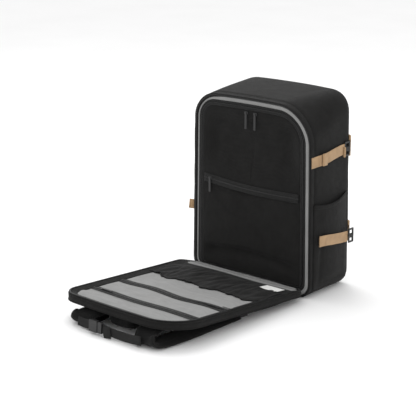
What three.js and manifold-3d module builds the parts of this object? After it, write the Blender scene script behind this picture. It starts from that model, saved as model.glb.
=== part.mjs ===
// Travel backpack that opens like a clamshell: a deep body, a mesh cover over its
// opening, and a back panel with the harness that folds down as a flap.
// Millimetres, +Z up. X is the width, the opening faces -Y.
import * as THREE from "three";
import Module from "manifold-3d";

const wasm = await Module();
wasm.setup();

// Body
const WIDTH = 350;
const HEIGHT = 458;
const DEPTH = 154;
const TAPER = 0.0438; // the pack is this much narrower at its top
const TOP_RADIUS = 92;
const BOTTOM_RADIUS = 34;
const BACK_TOP_RADIUS = 70;
const EDGE_ROUND = 15; // rounding between the sides and the outer face
const CROWN = 5; // how far the top bulges at mid width
const SLUMP = 22; // how far the top sinks at the opening
const WALL = 4;
const SHELL_FRONT = 3;
const GAP = 0.3;
const OPENING_Y = -70; // the origin is on the base, this far behind the opening

// Rings round the opening, as distances in from the outline
const ZIP_OUT = 0.5;
const ZIP_IN = 4.7;
const STRIP_IN = 14;
const TAPE_IN = 20.5;
const COVER_TAPE_OUT = 21;
const COVER_TAPE_IN = 28;
const RING_THICK = 1.6;
const COVER_BOTTOM = 22;

// Flap, folded down on its hinge
const HINGE_Y = -10.5;
const HINGE_Z = 24;
const FLAP_TILT = 4; // degrees that the far end is up
const FLAP_NEAR = 2.5; // from the hinge axis to the flap's near edge
const FLAP_LONG = HEIGHT - HINGE_Z - 1;
const FLAP_RIM = 10;
const FLAP_BACK = -11;
const FLAP_CORNER = 26;
const RIM_DROP = 7.5;
const RIM_RISE = 50; // along this length the flap's rim comes up to its full height

// Webbing and small hardware
const WEBBING = 25;
const WEBBING_THICK = 1.8;
const UPPER_STRAP_Z = 328;
const LOWER_STRAP_Z = 131;
const COVER_PULL = 38;
const POCKET_PULL = 34;
const FLAP_PULL = 30;
const PULL_THICK = 1.3;
const SLIDER_TALL = 2;

// Side pockets
const POCKET_FRONT = 12;
const POCKET_BACK = DEPTH - EDGE_ROUND - 1;
const POCKET_LOW = 22;
const POCKET_STAND = 11.7; // how far it stands off the side
const POCKET_WALL = 2.2;

// Mesh cover
const COVER_FACE = 0.9; // how far its front lies behind the opening's plane
const COVER_THICK = 2.2;
const COVER_ZIP_X = 13;
const COVER_ZIP_Z = 407;
const COVER_POCKET_Z = 236;

// Harness, as distances along the flap and heights below its inside
const STRAP_TURN = 438; // where the shoulder straps turn back on the ground
const CHEST_ALONG = 453;
const CHEST_HEIGHT = -37;
const PAD_TOP = -11.3;

const ARC_STEPS = 6;

const colours = {
  black: [0x1c1b1a, 0.85, 0],
  cover: [0x171615, 0.9, 0],
  grey: [0xa6a6a4, 0.9, 0],
  zip: [0x121212, 0.6, 0],
  tan: [0xbd9a70, 0.85, 0],
  plastic: [0x151515, 0.4, 0],
  white: [0xe8e8e6, 0.8, 0],
};

const pack = new THREE.Group();
pack.position.y = OPENING_Y;
const flap = new THREE.Group();
flap.position.set(0, HINGE_Y, HINGE_Z);
flap.rotation.x = -THREE.MathUtils.degToRad(FLAP_TILT);
pack.add(flap);

function add(group, name, geometry, look) {
  const [color, roughness, metalness] = colours[look];
  const material = new THREE.MeshStandardMaterial({ color, roughness, metalness });
  const mesh = new THREE.Mesh(geometry, material);
  mesh.name = name;
  group.add(mesh);
  return mesh;
}

// A rounded outline in the X-Z plane from z = low to high, each corner as an arc.
function outline(width, low, high, topRadius, bottomRadius) {
  const half = width / 2;
  const corners = [
    [half - bottomRadius, low + bottomRadius, bottomRadius, -90],
    [half - topRadius, high - topRadius, topRadius, 0],
    [-half + topRadius, high - topRadius, topRadius, 90],
    [-half + bottomRadius, low + bottomRadius, bottomRadius, 180],
  ];
  const points = [];
  for (const [x, z, radius, start] of corners) {
    for (let i = 0; i <= ARC_STEPS; i += 1) {
      const angle = THREE.MathUtils.degToRad(start + (90 * i) / ARC_STEPS);
      points.push([x + radius * Math.cos(angle), z + radius * Math.sin(angle)]);
    }
    if (start === 0) {
      for (let i = 1; i < 6; i += 1) points.push([(half - topRadius) * (1 - i / 3), high]);
    }
  }
  return points;
}

// Narrows the width towards the top.
const taper = (z) => 1 - (TAPER * z) / HEIGHT;

// Lifts the middle of the top, and lowers all of it by sink.
function crown(x, z, sink = 0) {
  const share = THREE.MathUtils.smoothstep(z, HEIGHT * 0.6, HEIGHT);
  return z + share * (CROWN * (1 - (2 * x / WIDTH) ** 2) - sink);
}

// One ring of the pack's outline, set in by inset, in the plane y.
function packRing(inset, y, topRadius = TOP_RADIUS, bottomRadius = BOTTOM_RADIUS, low = inset) {
  const points = outline(
    WIDTH - 2 * inset,
    low,
    HEIGHT - inset,
    Math.max(topRadius - inset, 5),
    Math.max(bottomRadius - inset, 5),
  );
  return points.map(([x, z]) => {
    const tall = crown(x, z, SLUMP * (1 - y / DEPTH));
    return new THREE.Vector3(x * taper(z), y, tall);
  });
}

// Skins a closed solid over rings of equal length, with flat ends unless the rings loop.
function loft(rings, loop = false) {
  const count = rings[0].length;
  const vertices = rings.flat();
  const index = [];
  const spans = loop ? rings.length : rings.length - 1;
  for (let i = 0; i < spans; i += 1) {
    const near = i * count;
    const far = ((i + 1) % rings.length) * count;
    for (let j = 0; j < count; j += 1) {
      const next = (j + 1) % count;
      index.push(near + j, far + j, far + next, near + j, far + next, near + next);
    }
  }
  if (!loop) {
    for (const [ring, flip] of [[0, false], [rings.length - 1, true]]) {
      const centre = vertices.length;
      const middle = new THREE.Vector3();
      rings[ring].forEach((p) => middle.addScaledVector(p, 1 / count));
      vertices.push(middle);
      for (let j = 0; j < count; j += 1) {
        const a = ring * count + j;
        const b = ring * count + ((j + 1) % count);
        index.push(...(flip ? [centre, b, a] : [centre, a, b]));
      }
    }
  }
  let volume = 0;
  for (let i = 0; i < index.length; i += 3) {
    const [a, b, c] = index.slice(i, i + 3).map((k) => vertices[k]);
    volume += a.dot(b.clone().cross(c));
  }
  if (volume < 0) index.reverse();
  const geometry = new THREE.BufferGeometry().setFromPoints(vertices);
  geometry.setIndex(index);
  geometry.computeVertexNormals();
  return geometry;
}

// A flat band that follows the opening, from one inset to the other.
function openingBand(outer, inner, yLow, yHigh, lowOuter = outer, lowInner = inner) {
  const ring = (inset, y, low) => packRing(inset, y, TOP_RADIUS, BOTTOM_RADIUS, low);
  return loft([
    ring(outer, yLow, lowOuter),
    ring(outer, yHigh, lowOuter),
    ring(inner, yHigh, lowInner),
    ring(inner, yLow, lowInner),
  ], true);
}

function box(x0, x1, y0, y1, z0, z1) {
  const geometry = new THREE.BoxGeometry(x1 - x0, y1 - y0, z1 - z0);
  geometry.translate((x0 + x1) / 2, (y0 + y1) / 2, (z0 + z1) / 2);
  return geometry;
}

function toManifold(geometry) {
  const plain = geometry.index ? geometry.toNonIndexed() : geometry.clone();
  const soup = new THREE.BufferGeometry();
  soup.setAttribute("position", plain.getAttribute("position"));
  const { vertices, triangles } = weld(soup);
  const mesh = new wasm.Mesh({ numProp: 3, vertProperties: vertices, triVerts: triangles });
  return new wasm.Manifold(mesh);
}

// Gives each place one vertex.
function weld(soup) {
  const source = soup.getAttribute("position");
  const seen = new Map();
  const vertices = [];
  const triangles = [];
  for (let i = 0; i < source.count; i += 1) {
    const place = [source.getX(i), source.getY(i), source.getZ(i)].map((v) => Math.round(v * 1e4) / 1e4);
    const key = place.join(",");
    if (!seen.has(key)) {
      seen.set(key, seen.size);
      vertices.push(...place);
    }
    triangles.push(seen.get(key));
  }
  return { vertices: new Float32Array(vertices), triangles: new Uint32Array(triangles) };
}

function fromManifold(solid) {
  const mesh = solid.getMesh();
  const geometry = new THREE.BufferGeometry();
  geometry.setAttribute("position", new THREE.BufferAttribute(mesh.vertProperties, 3));
  geometry.setIndex(new THREE.BufferAttribute(mesh.triVerts, 1));
  geometry.computeVertexNormals();
  return geometry;
}

function cut(solid, ...tools) {
  const result = tools.reduce((left, tool) => left.subtract(toManifold(tool)), toManifold(solid));
  return fromManifold(result);
}

// Moves every vertex of a geometry by a rule.
function reshape(geometry, rule) {
  const position = geometry.getAttribute("position");
  const point = new THREE.Vector3();
  for (let i = 0; i < position.count; i += 1) {
    point.fromBufferAttribute(position, i);
    rule(point);
    position.setXYZ(i, point.x, point.y, point.z);
  }
  geometry.computeVertexNormals();
  return geometry;
}

const tapered = (geometry) => reshape(geometry, (p) => { p.x *= taper(p.z); });

// The same shape on the other side, with its faces still turned outwards.
function mirrored(geometry) {
  const turned = geometry.clone();
  turned.scale(-1, 1, 1);
  const count = turned.getAttribute("position").count;
  const index = turned.index ? Array.from(turned.index.array) : [...Array(count).keys()];
  turned.setIndex(index.reverse());
  return turned;
}

// The hollow body, open towards -Y.
function bodyShell() {
  const steps = 4;
  const skin = (wall) => {
    const rings = [packRing(wall, SHELL_FRONT)];
    const radius = EDGE_ROUND - wall;
    for (let i = 0; i <= steps; i += 1) {
      const angle = ((Math.PI / 2) * i) / steps;
      const inset = wall + radius * (1 - Math.cos(angle));
      rings.push(packRing(inset, DEPTH - EDGE_ROUND + radius * Math.sin(angle), BACK_TOP_RADIUS));
    }
    return rings;
  };
  return loft([...skin(0).reverse(), ...skin(WALL)]);
}

// The stretch pocket on one side, open at its top.
function sidePocket() {
  const hem = [[POCKET_BACK, 229], [(POCKET_FRONT + POCKET_BACK) / 2, 208], [POCKET_FRONT, 220]];
  const shape = new THREE.Shape();
  shape.moveTo(POCKET_FRONT, POCKET_LOW);
  shape.lineTo(POCKET_BACK, POCKET_LOW);
  shape.lineTo(...hem[0]);
  shape.quadraticCurveTo(...hem[1], ...hem[2]);
  const extrusion = { depth: POCKET_STAND, bevelEnabled: false, curveSegments: 8 };
  const slab = new THREE.ExtrudeGeometry(shape, extrusion);
  // The shape's plane becomes (y, z) and its depth runs along x.
  const turn = new THREE.Matrix4().set(0, 0, 1, WIDTH / 2 + GAP, 1, 0, 0, 0, 0, 1, 0, 0, 0, 0, 0, 1);
  slab.applyMatrix4(turn);
  const room = box(
    WIDTH / 2 - 1,
    WIDTH / 2 + POCKET_STAND - POCKET_WALL,
    POCKET_FRONT + POCKET_WALL,
    POCKET_BACK - POCKET_WALL,
    POCKET_LOW + POCKET_WALL,
    HEIGHT,
  );
  return tapered(cut(slab, room));
}

// A length of webbing along one side: points are [y, how far it stands off].
function sideWebbing(points, z, width = WEBBING) {
  const rings = points.map(([y, off, drop = 0]) => {
    const x = WIDTH / 2 + GAP + off;
    const low = z - width / 2 + drop;
    const high = z + width / 2 + drop;
    return [
      new THREE.Vector3(x, y, low),
      new THREE.Vector3(x + WEBBING_THICK, y, low),
      new THREE.Vector3(x + WEBBING_THICK, y, high),
      new THREE.Vector3(x, y, high),
    ];
  });
  return tapered(loft(rings));
}

// A hook: a flat frame round the end of the webbing, with its bar.
function hook(length, height) {
  const frame = box(-1.5, 1.5, 0, length, -height / 2, height / 2);
  const window = box(-3, 3, 3.5, length - 3.5, -height / 2 + 4, height / 2 - 4);
  return cut(frame, window);
}

// A slider's body, with its length along X and its back at y = 0.
function sliderBody() {
  const shape = new THREE.Shape();
  shape.moveTo(-4.5, -3.2);
  shape.lineTo(4.5, -3.2);
  shape.lineTo(5.5, 0);
  shape.lineTo(4.5, 3.2);
  shape.lineTo(-4.5, 3.2);
  shape.lineTo(-5.5, 0);
  const geometry = new THREE.ExtrudeGeometry(shape, { depth: SLIDER_TALL, bevelEnabled: false });
  geometry.rotateX(Math.PI / 2); // its depth runs along -y and its width along z
  return geometry;
}

// A pull that hangs from its pivot at the origin, in front of the slider.
function pullTab(length) {
  const shape = new THREE.Shape();
  shape.moveTo(-2, 0);
  shape.lineTo(2, 0);
  shape.lineTo(3, -6);
  shape.lineTo(3, -length);
  shape.lineTo(-3, -length);
  shape.lineTo(-3, -6);
  const geometry = new THREE.ExtrudeGeometry(shape, { depth: PULL_THICK, bevelEnabled: false });
  geometry.rotateX(Math.PI / 2);
  return geometry;
}

function addBody() {
  add(pack, "body_shell", bodyShell(), "black");
  add(pack, "clamshell_zip_body", openingBand(ZIP_OUT, ZIP_IN, 0, SHELL_FRONT - GAP), "zip");
  add(pack, "lining_strip", openingBand(ZIP_IN + GAP, STRIP_IN, 0.9, 0.9 + RING_THICK), "grey");
  add(pack, "cover_zip_tape_body", openingBand(STRIP_IN + GAP, TAPE_IN, 0.9, 0.9 + RING_THICK), "zip");
  add(pack, "hinge_band", box(-132, 132, -9, -0.4, 17, 18.6), "grey");
  const pocket = sidePocket();
  const sides = { right: (g) => g, left: mirrored };
  for (const [side, turn] of Object.entries(sides)) {
    add(pack, `side_pocket_${side}`, turn(pocket), "black");
    addCompressionStraps(side, turn);
  }
}

// Tan webbing with black hooks, one pair high and one pair low on each side.
function addCompressionStraps(side, turn) {
  const end = DEPTH - EDGE_ROUND - 14;
  const high = [[6, 0], [30, 0.2], [40, 2.5], [70, 4], [end - 8, 1.5], [end, 1]];
  const low = [[24, 12.4, 4], [60, 12.6, 2], [end - 10, 14, -2], [end, 15, -4]];
  add(pack, `upper_strap_${side}`, turn(sideWebbing(high, UPPER_STRAP_Z)), "tan");
  add(pack, `lower_strap_${side}`, turn(sideWebbing(low, LOWER_STRAP_Z)), "tan");
  const keeper = sideWebbing([[36, 5.6, -2], [43, 6.4, -2], [50, 7.2, -2]], UPPER_STRAP_Z, WEBBING + 3);
  add(pack, `upper_keeper_${side}`, turn(keeper), "tan");
  for (const [level, z, off] of [["upper", UPPER_STRAP_Z, 3], ["lower", LOWER_STRAP_Z - 5, 17]]) {
    const clip = hook(19, WEBBING + 9);
    clip.translate((WIDTH / 2) * taper(z) + off, end + 1, z);
    add(pack, `${level}_hook_${side}`, turn(clip), "plastic");
    addAnchor(`${level}_anchor_${side}`, z + 4, turn);
  }
}

// A short upright loop of webbing on the rounded edge that the hook clips to.
function addAnchor(name, z, turn) {
  const facing = THREE.MathUtils.degToRad(55);
  const strip = box(0.8, 5.2, -6, 6, -24, 24);
  const tunnel = box(-1, 3.6, -7, 7, -13, 13);
  const loop = cut(strip, tunnel);
  loop.rotateZ(facing);
  const x = (WIDTH / 2 - EDGE_ROUND) * taper(z) + EDGE_ROUND * Math.cos(facing);
  loop.translate(x, DEPTH - EDGE_ROUND + EDGE_ROUND * Math.sin(facing), z);
  add(pack, name, turn(loop), "tan");
}

function addCover() {
  const back = COVER_FACE + RING_THICK;
  const low = COVER_BOTTOM + 2;
  const tape = openingBand(COVER_TAPE_OUT, COVER_TAPE_IN, COVER_FACE, back, COVER_BOTTOM, low);
  add(pack, "cover_zip_tape", tape, "zip");
  const inset = COVER_TAPE_IN + GAP;
  const faces = [COVER_FACE, COVER_FACE + COVER_THICK];
  const rings = faces.map((y) => packRing(inset, y, TOP_RADIUS, BOTTOM_RADIUS, low + GAP));
  add(pack, "cover_panel", loft(rings), "cover");
  const bandBack = COVER_FACE - GAP;
  const bandFront = bandBack - 0.9;
  const [bandLow, bandHigh] = [COVER_POCKET_Z - 7, COVER_POCKET_Z + 7];
  add(pack, "cover_pocket_zip", box(-128, 128, bandFront, bandBack, bandLow, bandHigh), "zip");
  addCoverSlider("cover_zip", "right", COVER_ZIP_X, COVER_ZIP_Z, COVER_FACE, COVER_PULL);
  addCoverSlider("cover_zip", "left", -COVER_ZIP_X, COVER_ZIP_Z, COVER_FACE, COVER_PULL);
  addCoverSlider("cover_pocket", "end", -120, COVER_POCKET_Z, bandFront, POCKET_PULL);
}

// A slider in front of the cover, and the pull that hangs from it.
function addCoverSlider(zip, side, x, z, face, length) {
  const slider = sliderBody();
  slider.translate(x, face - GAP, z);
  add(pack, `${zip}_slider_${side}`, slider, "plastic");
  const pull = pullTab(length);
  pull.translate(x, face - SLIDER_TALL - 2 * GAP, z + 1);
  add(pack, `${zip}_pull_${side}`, pull, "plastic");
}

// One ring of the flap's outline: x across, -y along it from the hinge, w as z.
function flapRing(inset, w, low = FLAP_NEAR + inset) {
  const points = outline(
    WIDTH - 2 * inset,
    low,
    FLAP_LONG - inset,
    Math.max(TOP_RADIUS - inset, 5),
    Math.max(FLAP_CORNER - inset, 5),
  );
  return points.map(([x, v]) => {
    const along = crown(x, v + HINGE_Z) - HINGE_Z;
    return new THREE.Vector3(x * taper(v + HINGE_Z), -along, w);
  });
}

// The rim is low at the hinge and full height further out.
function raised(ring, drop) {
  for (const point of ring) {
    const share = THREE.MathUtils.smoothstep(-point.y, 4, RIM_RISE);
    point.z -= drop * (1 - share);
  }
  return ring;
}

const flapBand = (outer, inner, wLow, wHigh, dropLow, dropHigh) => loft([
  raised(flapRing(outer, wLow), dropLow),
  raised(flapRing(outer, wHigh), dropHigh),
  raised(flapRing(inner, wHigh), dropHigh),
  raised(flapRing(inner, wLow), dropLow),
], true);

const flapSlab = (inset, wLow, wHigh) => loft([flapRing(inset, wLow), flapRing(inset, wHigh)]);

// A slab across the flap from one distance along it to another, kept inside its outline.
function flapPanel(from, to, wLow, wHigh, wave = 0, inset = 13) {
  const steps = 12;
  const half = (v) => {
    const centre = FLAP_LONG - TOP_RADIUS;
    const radius = TOP_RADIUS - inset;
    const past = Math.max(v - centre, 0);
    const corner = radius - Math.sqrt(Math.max(radius ** 2 - past ** 2, 0));
    return (WIDTH / 2 - inset - corner) * taper(v + HINGE_Z);
  };
  const rings = [];
  for (let i = 0; i <= steps; i += 1) {
    const share = (2 * i) / steps - 1;
    const ripple = wave * Math.cos(share * 7);
    const near = from + ripple;
    const far = to + ripple;
    const ring = [];
    for (const [v, w] of [[near, wLow], [far, wLow], [far, wHigh], [near, wHigh]]) {
      ring.push(new THREE.Vector3(share * half(v), -v, w));
    }
    rings.push(ring);
  }
  return loft(rings);
}

// Places along the flap, measured from the hinge axis.
const GATHER_FROM = 34;
const GATHER_TO = 168;
const ZIP_ONE = 252;
const ZIP_TWO = 342;
const ZIP_BAND = 13;
const POCKET_GAP = 0.6;

function addFlap() {
  add(flap, "flap_panel", flapSlab(9.3, FLAP_BACK, 0), "black");
  add(flap, "flap_rim", flapBand(0.4, 9, FLAP_BACK, FLAP_RIM - 2 - GAP, 0, RIM_DROP), "black");
  const zip = flapBand(ZIP_OUT, ZIP_IN, FLAP_RIM - 2, FLAP_RIM, RIM_DROP, RIM_DROP);
  add(flap, "clamshell_zip_flap", zip, "zip");
  add(flap, "flap_lining", flapSlab(9.6, GAP, 1.1), "grey");
  const low = 1.1 + GAP;
  const high = low + 2;
  add(flap, "gathered_pocket", flapPanel(GATHER_FROM, GATHER_TO, low, high + 1), "black");
  const bands = [
    ["grey_pocket_near", GATHER_TO + POCKET_GAP, ZIP_ONE - POCKET_GAP, "grey", high],
    ["pocket_zip_near", ZIP_ONE, ZIP_ONE + ZIP_BAND, "zip", high],
    ["grey_pocket_middle", ZIP_ONE + ZIP_BAND + POCKET_GAP, ZIP_TWO - POCKET_GAP, "grey", high],
    ["pocket_zip_far", ZIP_TWO, ZIP_TWO + ZIP_BAND, "zip", high],
    ["grey_pocket_far", ZIP_TWO + ZIP_BAND + POCKET_GAP, FLAP_LONG - 16, "grey", high],
  ];
  for (const [name, from, to, look, top] of bands) {
    add(flap, name, flapPanel(from, to, low, top), look);
  }
  add(flap, "size_label", box(98, 148, -74, -46, high + 1 + GAP, high + 1.9), "white");
  add(flap, "elastic_tab", box(132, 156, -(ZIP_ONE - 8), -(ZIP_ONE - 16), high + GAP, high + 2), "grey");
  for (const [name, v, x] of [["near", ZIP_ONE, 132], ["far", ZIP_TWO, -126]]) {
    addFlapSlider(name, v + ZIP_BAND / 2, x, high);
  }
  addHarness();
}

// A pocket slider and its pull, lying on the zip band.
function addFlapSlider(name, v, x, top) {
  const slider = sliderBody();
  slider.rotateX(-Math.PI / 2); // back down, depth up
  slider.translate(x, -v, top + GAP);
  add(flap, `pocket_slider_${name}`, slider, "plastic");
  const pull = pullTab(FLAP_PULL);
  pull.rotateX(-Math.PI / 2);
  pull.rotateZ(x > 0 ? -Math.PI / 2 : Math.PI / 2);
  pull.translate(x, -v, top + SLIDER_TALL + 2 * GAP);
  add(flap, `pocket_pull_${name}`, pull, "plastic");
}

// The line of the ground below a place along the flap, in the flap's own height.
const ground = (v) => -(HINGE_Z / Math.cos(THREE.MathUtils.degToRad(FLAP_TILT)))
  - v * Math.tan(THREE.MathUtils.degToRad(FLAP_TILT));

// A padded or flat band along stations [x, v, w, width, thickness, lean in degrees].
function band(stations, corners = 8) {
  const curve = new THREE.CatmullRomCurve3(stations.map(([x, v, w]) => new THREE.Vector3(x, -v, w)));
  const rings = [];
  const count = (stations.length - 1) * 4;
  for (let i = 0; i <= count; i += 1) {
    const share = i / count;
    const place = share * (stations.length - 1);
    const near = Math.min(Math.floor(place), stations.length - 2);
    const mix = (k) => THREE.MathUtils.lerp(stations[near][k], stations[near + 1][k], place - near);
    const centre = curve.getPoint(share);
    const along = curve.getTangent(share);
    const across = new THREE.Vector3(1, 0, 0).addScaledVector(along, -along.x).normalize();
    const up = new THREE.Vector3().crossVectors(across, along);
    const ring = [];
    for (let k = 0; k < corners; k += 1) {
      const angle = (2 * Math.PI * (k + 0.5)) / corners;
      const square = (value) => Math.sign(value) * Math.abs(value) ** 0.45;
      const side = (mix(3) / 2) * square(Math.cos(angle));
      const tall = (mix(4) / 2) * square(Math.sin(angle));
      ring.push(centre.clone().addScaledVector(across, side).addScaledVector(up, tall));
    }
    rings.push(ring);
  }
  return loft(rings);
}

function shoulderStrap() {
  const onGround = (v, thick) => ground(v) + thick / 2 + 0.6;
  return band([
    [62, 320, -18.5, 62, 12],
    [72, 380, -18.8, 60, 12],
    [84, STRAP_TURN - 18, -22.5, 58, 12],
    [94, STRAP_TURN, onGround(STRAP_TURN, 12) + 11, 58, 12],
    [102, STRAP_TURN - 18, onGround(STRAP_TURN - 18, 12) + 0.5, 58, 12],
    [112, 350, onGround(350, 12), 58, 12],
    [116, 270, onGround(270, 12), 54, 12],
    [120, 190, onGround(190, 11), 48, 11],
  ]);
}

function addHarness() {
  add(flap, "back_pad_upper", box(-120, 120, -300, -190, PAD_TOP - 9, PAD_TOP), "black");
  const lumbar = [[0, 0], [-2, 4], [-8, 4], [-11, 0]].map(([w, grow]) => {
    const edge = outline(210 + 2 * grow, 26 - grow, 120 + grow, 24, 24);
    return edge.map(([x, v]) => new THREE.Vector3(x, -v, PAD_TOP + w));
  });
  add(flap, "lumbar_pad", loft(lumbar), "black");
  const sides = { right: (g) => g, left: mirrored };
  for (const [side, turn] of Object.entries(sides)) {
    add(flap, `shoulder_strap_${side}`, turn(shoulderStrap()), "black");
    const lock = cut(
      box(104, 136, -186, -160, ground(173) + 3.5, ground(173) + 8),
      box(109, 131, -181, -175.5, -100, 0),
      box(109, 131, -170.5, -165, -100, 0),
    );
    add(flap, `ladder_lock_${side}`, turn(lock), "plastic");
    const tail = band([
      [120, 154, ground(154) + 5, WEBBING, WEBBING_THICK],
      [127, 110, ground(110) + 4, WEBBING, WEBBING_THICK],
      [134, 60, ground(60) + 5, WEBBING, WEBBING_THICK],
      [140, 14, -13.5, WEBBING, WEBBING_THICK],
    ], 4);
    add(flap, `strap_webbing_${side}`, turn(tail), "zip");
  }
  addSternumStrap();
}

// The chest strap between the two shoulder straps, with its side-release buckle.
function addSternumStrap() {
  const v = CHEST_ALONG;
  const w = CHEST_HEIGHT;
  const half = 10;
  const flat = WEBBING_THICK / 2;
  const female = cut(
    box(-56, -32, -v - 4.5, -v + 4.5, w - 13, w + 13),
    box(-48, -30, -v - 2, -v + 2, w - 8, w + 8),
  );
  const base = box(-31, -19, -v - 4, -v + 4, w - 12, w + 12);
  const tongue = box(-46, -30, -v - 1.4, -v + 1.4, w - 7, w + 7);
  const male = fromManifold(toManifold(base).add(toManifold(tongue)));
  add(flap, "chest_buckle_socket", female, "plastic");
  add(flap, "chest_buckle_plug", male, "plastic");
  add(flap, "chest_webbing_left", box(-92, -56 - GAP, -v - flat, -v + flat, w - half, w + half), "zip");
  add(flap, "chest_webbing_right", box(-19 + GAP, 92, -v - flat, -v + flat, w - half, w + half), "zip");
  const bottom = ground(v) + 1.5;
  const tail = box(-17, 6, -v - flat - 3, -v - flat - GAP, bottom, w + half - 2);
  add(flap, "chest_webbing_tail", tail, "zip");
}

addBody();
addCover();
addFlap();

export default pack;
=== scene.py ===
import math

import bmesh
import bpy
from mathutils import Matrix, Vector, noise


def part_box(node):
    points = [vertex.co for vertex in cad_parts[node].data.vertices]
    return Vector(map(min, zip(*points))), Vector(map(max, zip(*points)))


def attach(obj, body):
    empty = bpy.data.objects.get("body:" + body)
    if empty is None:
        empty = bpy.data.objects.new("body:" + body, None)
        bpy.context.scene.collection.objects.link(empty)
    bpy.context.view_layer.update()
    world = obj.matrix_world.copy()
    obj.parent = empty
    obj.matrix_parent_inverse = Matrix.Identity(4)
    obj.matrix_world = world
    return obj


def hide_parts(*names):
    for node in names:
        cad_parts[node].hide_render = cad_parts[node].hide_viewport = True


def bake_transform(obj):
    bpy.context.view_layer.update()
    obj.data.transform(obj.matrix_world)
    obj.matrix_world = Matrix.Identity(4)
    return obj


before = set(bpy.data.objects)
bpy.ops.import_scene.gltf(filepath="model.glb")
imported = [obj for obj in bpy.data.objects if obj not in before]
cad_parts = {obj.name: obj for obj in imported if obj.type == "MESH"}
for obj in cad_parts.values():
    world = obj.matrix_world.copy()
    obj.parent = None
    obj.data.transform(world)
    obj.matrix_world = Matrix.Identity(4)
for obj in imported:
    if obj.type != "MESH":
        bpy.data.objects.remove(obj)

# ---- driving dimensions, metres
MM = 0.001
WIDTH, HEIGHT, DEPTH = 0.350, 0.458, 0.154
TAPER = 0.0438         # the pack is this much narrower at its top
TOP_RADIUS, BOTTOM_RADIUS, BACK_TOP_RADIUS = 0.092, 0.034, 0.046
LEFT_FRONT, LEFT_BACK = 0.060, 0.078  # the cloth sags to other corners on the left
EDGE_ROUND = 0.015     # rounding between the sides and the outer face
CROWN = 0.005          # how far the top bulges at mid width
SLUMP = 0.022          # how far the top sinks at the opening
OPENING_Y = -0.070     # the opening's plane, from the origin on the base
HINGE = Vector((0, OPENING_Y - 0.0105, 0.024))
FLAP_TILT = math.radians(4)
FLAP_NEAR, FLAP_LONG, FLAP_CORNER, FLAP_RADIUS = 0.0025, 0.433, 0.026, 0.084
FLAP_LEFT_RADIUS = 0.040
RIM_DROP, RIM_RISE = 0.0075, 0.050
WEBBING, WEB_THICK = 0.025, 0.0016
UPPER_STRAP_Z, LOWER_STRAP_Z = 0.328, 0.135
SHELL_WALL = 0.0035
ROUND = 176            # points round an outline
ACROSS = 120           # steps from side to side of the flap
CORNER_STEPS = 16
# rows of blocks: pitch, then a block's length, breadth and height
STITCH, FINE_STITCH = (0.0045, 0.0028, 0.0005, 0.0005), (0.0042, 0.0026, 0.0005, 0.0004)
TOOTH, COVER_TOOTH = (0.0030, 0.0017, 0.0030, 0.0013), (0.0024, 0.0014, 0.0022, 0.0012)
POCKET_TOOTH, FLAP_TOOTH = (0.0022, 0.0013, 0.0030, 0.0012), (0.0022, 0.0013, 0.0032, 0.0011)
BARTACK = (0.0016, 0.0010, 0.0016, 0.0005)
UP, OUT_FRONT = Vector((0, 0, 1)), Vector((0, -1, 0))

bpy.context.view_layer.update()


# ---- camera
def aimed(name, data, spot, aim):
    """A camera or lamp at a spot, looking at a point."""
    thing = bpy.data.objects.new(name, data)
    thing.location = spot
    thing.rotation_mode = "QUATERNION"
    thing.rotation_quaternion = (Vector(aim) - Vector(spot)).to_track_quat("-Z", "Y")
    bpy.context.collection.objects.link(thing)
    return thing


def make_camera(azimuth, elevation, distance, aim, lens):
    a, e = math.radians(azimuth), math.radians(elevation)
    back = Vector((math.sin(a) * math.cos(e), -math.cos(a) * math.cos(e), math.sin(e)))
    data = bpy.data.cameras.new("camera")
    data.lens = lens
    data.clip_end = 50
    bpy.context.scene.camera = aimed("camera", data, Vector(aim) + back * distance, aim)


make_camera(40.9, 16.1, 3.2, (-0.1283, -0.070, 0.1603), 116.6)


# ---- materials
class Nodes:
    """A short way to build a node tree."""

    def __init__(self, name):
        self.material = bpy.data.materials.new(name)
        self.material.use_nodes = True
        self.tree = self.material.node_tree
        self.tree.nodes.clear()
        self.shader = self.node("BsdfPrincipled")
        self.link(self.shader.outputs[0], self.node("OutputMaterial").inputs[0])
        self.place = self.node("TexCoord").outputs["Object"]

    def node(self, kind, **values):
        node = self.tree.nodes.new("ShaderNode" + kind)
        for label, value in values.items():
            node.inputs[label.replace("_", " ")].default_value = value
        return node

    def link(self, a, b):
        self.tree.links.new(a, b)

    def texture(self, node):
        self.link(self.place, node.inputs["Vector"])
        return node.outputs["Fac"]

    def noise(self, scale, detail=3):
        return self.texture(self.node("TexNoise", Scale=scale, Detail=detail))

    def wave(self, axis, period, distortion=0.0):
        node = self.node("TexWave", Scale=2 * math.pi / (20 * period), Distortion=distortion)
        node.bands_direction = axis
        return self.texture(node)

    def maths(self, kind, a, b):
        node = self.node("Math")
        node.operation = kind
        for socket, value in zip(node.inputs, (a, b)):
            if isinstance(value, (int, float)):
                socket.default_value = value
            else:
                self.link(value, socket)
        return node.outputs[0]

    def ramp(self, value, dark, light, low=0.3, high=0.7):
        node = self.node("ValToRGB")
        for element, spot, colour in zip(node.color_ramp.elements, (low, high), (dark, light)):
            element.position = spot
            element.color = (*colour, 1)
        self.link(value, node.inputs[0])
        return node.outputs[0]

    def rough(self, value, low, high):
        node = self.node("MapRange", To_Min=low, To_Max=high)
        self.link(value, node.inputs["Value"])
        self.link(node.outputs[0], self.shader.inputs["Roughness"])

    def bump(self, height, strength, distance):
        node = self.node("Bump", Strength=strength, Distance=distance)
        self.link(height, node.inputs["Height"])
        self.link(node.outputs[0], self.shader.inputs["Normal"])


def shade(colour, amount):
    return tuple(c * amount for c in colour)


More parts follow.
